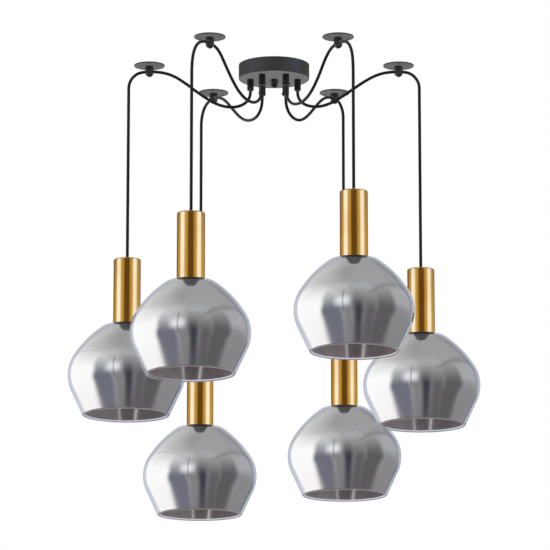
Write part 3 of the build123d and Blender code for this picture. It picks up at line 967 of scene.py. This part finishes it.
# What the mirrored glass sees round it: a plain room with one window on the left.
MIRROR_WALLS = (
    Panel(-170, -22, 0.66, softness=26, high=66, edge=15),
    Panel(-6, 54, 0.43, SOFT_COOL, softness=5, low=42, high=70, edge=5),
    Panel(-76, -26, 0.185, COOL, softness=9, high=12, edge=33),
    Panel(-26, -4, 0.24, SOFT_COOL, softness=9, high=12, edge=36),
    Panel(-152, -66, 1.07, softness=8, high=33, edge=27, lean=0.42),
    Panel(-39, -10, 0.86, SOFT_COOL, softness=10, low=-7, high=20, edge=13),
    Panel(-5, 18, 0.056, DUSK, softness=9, high=17, edge=38, lean=-0.06),
    Panel(17, 44, 0.125, MAUVE, softness=9, high=14, edge=40, lean=-0.1),
    Panel(44, 92, 0.116, MAUVE, softness=9, high=25, edge=37),
    Panel(91, 170, 0.275, SOFT_COOL, softness=14, high=44, edge=14),
    Panel(85, 142, 0.43, SOFT_COOL, softness=9, low=4, high=44, edge=12),
    Panel(153, 207, 0.62, REAR, softness=5, high=26, edge=10),
    Panel(154, 168, 0.08, softness=3, high=4, edge=4),
)

# What the brass, the black pieces and the film's backing see round them.
METAL_WALLS = (
    Panel(-128, -24, 0.52, GOLD, softness=6),
    Panel(26, 140, 0.52, GOLD, softness=6),
    Panel(-92, -53, 1.22, CREAM, softness=7),
    Panel(53, 92, 1.22, CREAM, softness=8),
    Panel(150, 210, 0.26, AMBER, softness=12),
    Panel(-400, 400, 0.20, high=-22, edge=5),
    Panel(-400, 400, 0.30, low=24, edge=5),
    Panel(-170, -38, 0.17, softness=8, low=28, edge=6),
    Panel(-34, 28, 0.045, softness=4, low=28, edge=6),
    Panel(30, 170, 0.27, softness=4, low=28, edge=6),
    Panel(105, 255, 0.22, softness=14, low=14, edge=5),
    Panel(-40, -31, 2.3, softness=3, low=30, edge=6),
    Panel(24, 31, 1.8, softness=3, low=30, edge=6),
    Panel(110, 250, 1.25, softness=14, low=-62, high=-4, edge=6),
)


class Walls:
    """The studio's walls as nodes of the world: a colour for each direction, in degrees.

    Each arch is given by the azimuth and the height of its top.
    """

    left_arch = (-84.0, 51.5)
    right_arch = (84.0, 51.0)
    arch_sag = 0.0062
    left_arch_ends = (-34.0, -20.0)
    right_arch_starts = (16.0, 48.0)
    corner = -24.0
    corner_foot = (-38.0, -16.0)
    corner_head = (34.0, 46.0)
    narrow, wide = 2.4, 8.0
    left_darkness, right_darkness, corner_darkness = 0.20, 0.24, 0.55
    ceiling_softness, ceiling_share = 5.0, 0.26
    ceiling_grey = (0.30, 0.30, 0.30)
    line_black = (0.02, 0.02, 0.02)

    def __init__(self, sheet: NodeSheet) -> None:
        """Work out a direction's azimuth and height, and how far it lies behind and below."""
        self.sheet = sheet
        direction = sheet.add("ShaderNodeSeparateXYZ")
        sheet.feed(direction.inputs[0], sheet.add("ShaderNodeTexCoord").outputs["Generated"])
        to_left, to_back, to_top = direction.outputs
        to_front = sheet.math("MULTIPLY", to_back, -1.0)
        self.azimuth = sheet.math("DEGREES", sheet.math("ARCTAN2", to_left, to_front))
        self.height = sheet.math("DEGREES", sheet.math("ARCSINE", to_top))
        turn = sheet.math("MULTIPLY", sheet.math("LESS_THAN", self.azimuth, 0.0), 360.0)
        self.behind = sheet.math("ADD", self.azimuth, turn)
        self.below = sheet.math("MAXIMUM", sheet.math("MULTIPLY", self.height, -1.0), 0.0)

    def share_of(self, panel: Panel) -> Socket:
        """How much of a panel a direction meets, from 0 to 1."""
        sheet = self.sheet
        place = self.behind if panel.right > 180 else self.azimuth
        if panel.lean:
            place = sheet.math("MULTIPLY_ADD", self.below, panel.lean, place)
        share = sheet.math("SUBTRACT", sheet.edge(place, panel.left, panel.softness),
                           sheet.edge(place, panel.right, panel.softness))
        if panel.low > -90:
            rises = sheet.edge(self.height, panel.low, panel.edge)
            share = sheet.math("MULTIPLY", share, rises)
        if panel.high < 90:
            falls = sheet.edge(self.height, panel.high, panel.edge)
            share = sheet.math("MULTIPLY", share, sheet.math("SUBTRACT", 1.0, falls))
        return share

    def paint(self, base: Colour, panels: tuple[Panel, ...]) -> Socket:
        """Lay panels over a base colour, later ones over earlier ones."""
        colour: object = base
        for panel in panels:
            colour = self.sheet.mix(self.share_of(panel), colour, panel.colour())
        return colour

    def above_arch(self, middle: float, crest: float) -> Socket:
        """How far a direction lies above the arch where a wall meets the ceiling.

        Args:
            middle: Azimuth of the arch's highest point.
            crest: Height of that point.

        Returns:
            The height above the arch, in degrees.
        """
        sheet = self.sheet
        aside = sheet.math("SUBTRACT", self.azimuth, middle)
        drop = sheet.math("MULTIPLY", sheet.math("MULTIPLY", aside, aside), self.arch_sag)
        return sheet.math("SUBTRACT", sheet.math("ADD", self.height, drop), crest)

    def darken_line(self, colour: Socket, distance: Socket, width: float,
                    share: Socket) -> Socket:
        """Darken a colour near a line.

        Args:
            colour: The colour to darken.
            distance: Signed distance from the line, in degrees.
            width: Distance at which the line has faded out.
            share: How much darker the line's middle is, from 0 to 1.
        """
        sheet = self.sheet
        away = sheet.fade(sheet.math("ABSOLUTE", distance), 0.0, width)
        near = sheet.math("SUBTRACT", 1.0, away)
        return sheet.mix(sheet.math("MULTIPLY", near, share), colour, self.line_black)

    def room_lines(self, colour: Socket) -> Socket:
        """Lay the faint lines of the room's edges over its walls and panels."""
        sheet = self.sheet
        left = self.above_arch(*self.left_arch)
        left_share = sheet.math("SUBTRACT", 1.0, sheet.fade(self.azimuth, *self.left_arch_ends))
        ceiling = sheet.math("MULTIPLY", sheet.fade(left, 0.0, self.ceiling_softness), left_share)
        ceiling = sheet.math("MULTIPLY", ceiling, self.ceiling_share)
        colour = sheet.mix(ceiling, colour, self.ceiling_grey)
        share = sheet.math("MULTIPLY", left_share, self.left_darkness)
        colour = self.darken_line(colour, left, self.narrow, share)
        right_share = sheet.fade(self.azimuth, *self.right_arch_starts)
        share = sheet.math("MULTIPLY", right_share, self.right_darkness)
        colour = self.darken_line(colour, self.above_arch(*self.right_arch), self.wide, share)
        tall = sheet.math("SUBTRACT", sheet.fade(self.height, *self.corner_foot),
                          sheet.fade(self.height, *self.corner_head))
        share = sheet.math("MULTIPLY", tall, self.corner_darkness)
        aside = sheet.math("SUBTRACT", self.azimuth, self.corner)
        return self.darken_line(colour, aside, self.narrow, share)


@dataclass(frozen=True)
class Lamp:
    """A soft square lamp that looks at the middle of the light, unseen in reflections."""

    name: str
    place: Triple
    size: float
    power: float
    aim: Triple = (0.0, 0.0, -0.3)

    def hang(self) -> None:
        """Add the lamp to the scene."""
        lamp = bpy.data.lights.new(self.name, "AREA")
        lamp.size = self.size
        lamp.energy = self.power
        holder = bpy.data.objects.new(self.name, lamp)
        holder.location = self.place
        aim = Vector(self.aim) - Vector(self.place)
        holder.rotation_euler = aim.to_track_quat("-Z", "Y").to_euler()
        holder.visible_glossy = False
        holder.visible_transmission = False
        bpy.context.scene.collection.objects.link(holder)


LAMPS = (
    Lamp("key_lamp", (-2.2, -2.6, 1.4), 1.6, 60.0),
    Lamp("fill_lamp", (2.4, -2.0, -1.2), 1.6, 25.0),
    Lamp("low_lamp", (0.0, 2.6, -2.4), 2.0, 90.0),
)


@dataclass(frozen=True)
class Studio:
    """Plain white studio with its lamps, a pale floor far below, and the camera."""

    camera_place: Triple = (0.0017, -6.0, -1.6115)
    camera_pitch: float = 11.74
    focal_pixels: float = 3643.0
    frame_pixels: float = 550.0
    sensor: float = 36.0
    floor_depth: float = 3.0
    floor_size: float = 60.0
    white: Colour = (1.0, 1.0, 1.0)
    ambient: Colour = (0.62, 0.62, 0.63)
    ceiling: Colour = (0.385, 0.385, 0.39)
    dark_brown: Colour = (0.135, 0.078, 0.020)
    zenith: Colour = (0.55, 0.55, 0.55)
    zenith_starts: tuple[float, float] = (64.0, 78.0)
    through_glass: Colour = (0.53, 0.565, 0.67)

    def light_world(self) -> None:
        """White to the camera, soft panels to glass and metal, plain light to the rest."""
        world = bpy.data.worlds.new("studio_walls")
        world.use_nodes = True
        world.cycles.sampling_method = "NONE"
        sheet = NodeSheet(world.node_tree)
        walls = Walls(sheet)
        mirror = walls.room_lines(walls.paint(self.ceiling, MIRROR_WALLS))
        metal = walls.paint(self.dark_brown, METAL_WALLS)
        metal = sheet.mix(sheet.fade(walls.height, *self.zenith_starts), metal, self.zenith)
        rays = sheet.add("ShaderNodeLightPath")
        behind_glass = sheet.math("GREATER_THAN", rays.outputs["Transmission Depth"], 0.5)
        on_glass = sheet.math("MAXIMUM", behind_glass, rays.outputs["Is Singular Ray"])
        shine = sheet.mix(on_glass, metal, mirror)
        colour = sheet.mix(rays.outputs["Is Glossy Ray"], self.ambient, shine)
        colour = sheet.mix(rays.outputs["Is Transmission Ray"], colour, self.through_glass)
        colour = sheet.mix(rays.outputs["Is Camera Ray"], colour, self.white)
        background = sheet.add("ShaderNodeBackground")
        sheet.feed(background.inputs["Color"], colour)
        output = sheet.add("ShaderNodeOutputWorld")
        sheet.feed(output.inputs["Surface"], background.outputs[0])
        bpy.context.scene.world = world

    def add_floor(self) -> None:
        """A pale floor far below, which doesn't block the views from beneath."""
        bpy.ops.object.select_all(action="DESELECT")
        bpy.ops.mesh.primitive_plane_add(size=self.floor_size, location=(0, 0, -self.floor_depth))
        floor = bpy.context.object
        floor.name = "studio_floor"
        floor.data.materials.append(Finish.FLOOR.material)
        floor.visible_glossy = False
        floor.visible_transmission = False

    def add_camera(self) -> None:
        """The photograph's view: from below, level with the front, through a long lens."""
        camera = bpy.data.cameras.new("photo_view")
        camera.sensor_width = self.sensor
        camera.lens = self.focal_pixels / self.frame_pixels * self.sensor
        holder = bpy.data.objects.new("photo_view", camera)
        holder.location = self.camera_place
        holder.rotation_euler = (math.radians(90 + self.camera_pitch), 0, 0)
        bpy.context.scene.collection.objects.link(holder)
        bpy.context.scene.camera = holder

    def build(self) -> None:
        """Set up the light, the floor and the camera."""
        bpy.context.scene.view_settings.view_transform = "Standard"
        self.light_world()
        for lamp in LAMPS:
            lamp.hang()
        self.add_floor()
        self.add_camera()


# ---------------- the whole light
def main() -> None:
    """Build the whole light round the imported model, piece by piece."""
    logging.basicConfig(level=logging.INFO, format="%(message)s")
    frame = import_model()
    dress_nodes(frame["nodes"])
    build_pendants()
    for light, length in zip(LIGHTS, CORD_LENGTHS):
        HangingCord(light, length).build()
    Studio().build()


if __name__ == "__main__":
    main()
